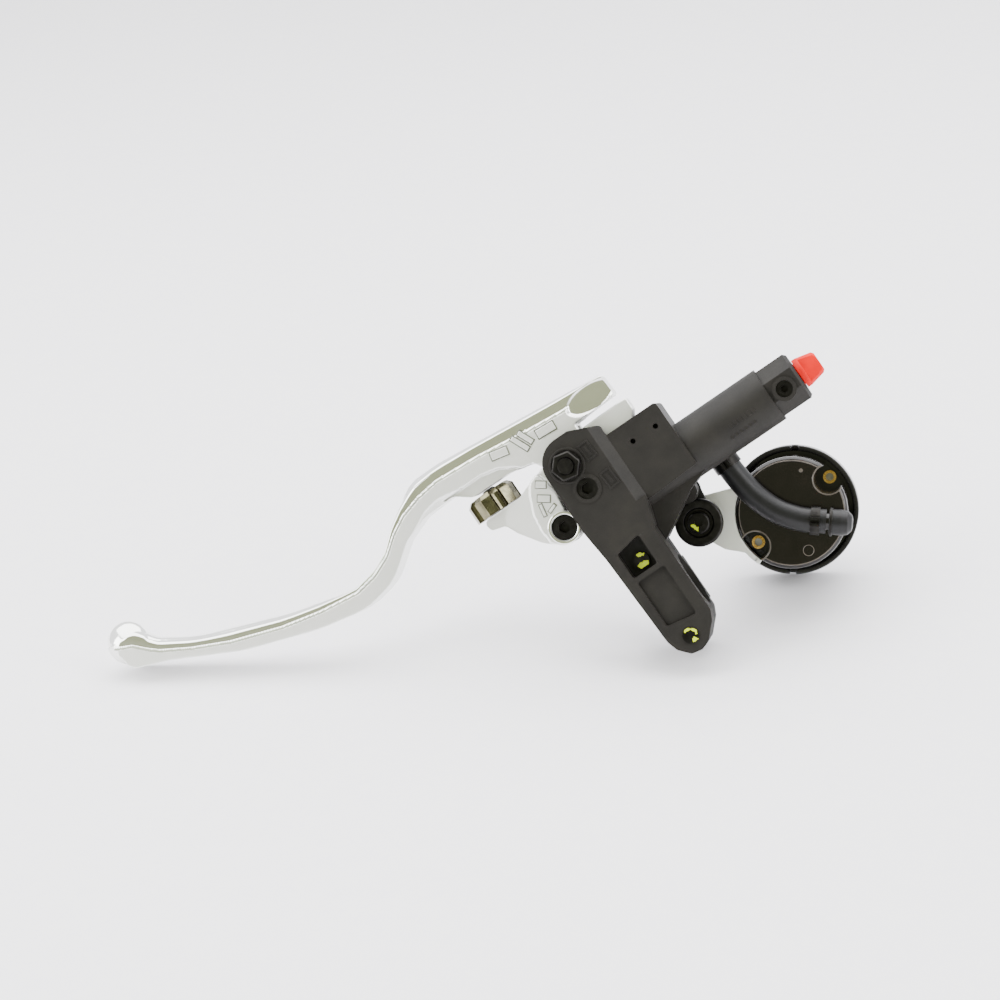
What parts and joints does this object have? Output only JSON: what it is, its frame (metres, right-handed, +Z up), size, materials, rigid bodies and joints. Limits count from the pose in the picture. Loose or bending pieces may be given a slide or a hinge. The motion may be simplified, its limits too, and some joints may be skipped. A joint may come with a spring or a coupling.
{
  "type": "brake lever and master cylinder",
  "caption": "Hydraulic hand brake lever with axial master cylinder, split handlebar clamp, reach adjuster wheel and remote fluid reservoir on a short hose.",
  "frame": {"origin": "centre of the handlebar clamp bore", "axes": "the assembly as it lies on a bench on its lever tip, clamp end and reservoir lid: +Z up from the bench, +X towards the fluid outlet, +Y towards the reservoir; the handlebar runs along the axis of mount handlebar_clamp, tilted 32.2 degrees up and leaned back 22.2 degrees"},
  "size_m": [0.2902, 0.1056, 0.107],
  "materials": {
    "black_casting": "satin",
    "polished_aluminium": "polished",
    "zinc_steel": "satin",
    "black_steel": "satin",
    "dark_nickel": "polished",
    "red_cap": "gloss",
    "hose_rubber": "satin",
    "reservoir_plastic": "gloss",
    "lid_plastic": "satin",
    "brass": "turned",
    "bright_strap": "polished",
    "black_rubber": "matte",
    "bearing_bronze": "sintered"
  },
  "bodies": {
    "master_cylinder": {"master_cylinder_body": "black_casting", "clamp_cap": "black_casting", "clamp_screws": "black_steel", "pivot_bolt": "zinc_steel", "pivot_nut": "zinc_steel", "ear_plug_screw": "black_steel", "side_port_plug": "black_steel", "circlip": "black_steel", "dust_boot": "black_rubber", "inlet_elbow": "lid_plastic", "reservoir_hose": "hose_rubber", "hose_clips": "black_steel", "reservoir_pot": "reservoir_plastic", "reservoir_spigot": "reservoir_plastic", "brass_inserts": "brass", "reservoir_lid": "lid_plastic", "lid_diaphragm": "black_rubber", "lid_screws": "zinc_steel", "bracket_arm": "black_steel", "arm_screw": "zinc_steel", "rubber_mount": "black_rubber", "eye_washer": "black_steel", "bracket_bolt": "black_steel", "bracket_nut": "zinc_steel", "reservoir_strap": "bright_strap", "strap_screw": "black_steel"},
    "lever_carrier": {"lever_carrier": "polished_aluminium", "pivot_bush": "bearing_bronze"},
    "lever_blade": {"lever_blade": "polished_aluminium"},
    "adjuster_wheel": {"adjuster_wheel": "dark_nickel"},
    "adjuster_spindle": {"adjuster_spindle": "zinc_steel"},
    "trunnion": {"trunnion_pin": "black_steel", "pushrod": "zinc_steel", "pushrod_nut": "zinc_steel"},
    "piston": {"piston": "polished_aluminium", "primary_seal": "black_rubber", "secondary_seal": "black_rubber", "piston_spring": "zinc_steel"},
    "outlet_plug": {"outlet_plug": "red_cap"}
  },
  "joints": [
    {"name": "lever_pull", "type": "hinge", "parent": "master_cylinder", "child": "lever_carrier", "pos_m": [-0.03492, 0.01911, 0.04682], "axis": [0, -0.9259, 0.3778], "range_deg": [0, 20], "stiffness_Nm_per_rad": 1, "springref_deg": -22.92},
    {"name": "reach_adjust", "type": "hinge", "parent": "lever_carrier", "child": "lever_blade", "pos_m": [-0.03492, 0.01911, 0.04682], "axis": [0, 0.9259, -0.3778], "range_deg": [0, 5]},
    {"name": "adjuster_turn", "type": "hinge", "parent": "lever_carrier", "child": "adjuster_wheel", "pos_m": [-0.06231, 0.01299, 0.03184], "axis": [-0.5329, 0.3197, 0.7835], "range_deg": [0, 301]},
    {"name": "spindle_lift", "type": "slide", "parent": "lever_carrier", "child": "adjuster_spindle", "axis": [-0.5329, 0.3197, 0.7835], "range_m": [0, 0.003]},
    {"name": "trunnion_turn", "type": "hinge", "parent": "lever_carrier", "child": "trunnion", "pos_m": [-0.03761, 0.0103, 0.02523], "axis": [0, -0.9259, 0.3778], "range_deg": [-13, 1]},
    {"name": "piston_slide", "type": "slide", "parent": "master_cylinder", "child": "piston", "axis": [0.8462, 0.2013, 0.4934], "range_m": [0, 0.0073]},
    {"name": "plug_pull", "type": "slide", "parent": "master_cylinder", "child": "outlet_plug", "axis": [0.8462, 0.2013, 0.4934], "range_m": [0, 0.012]}
  ],
  "couplings": [
    {"joint": "adjuster_turn", "follows": "reach_adjust", "ratio": 60},
    {"joint": "spindle_lift", "follows": "reach_adjust", "m_per_rad": 0.0318},
    {"joint": "trunnion_turn", "follows": "lever_pull", "ratio": -0.59818},
    {"joint": "piston_slide", "follows": "lever_pull", "m_per_rad": 0.020486}
  ]
}
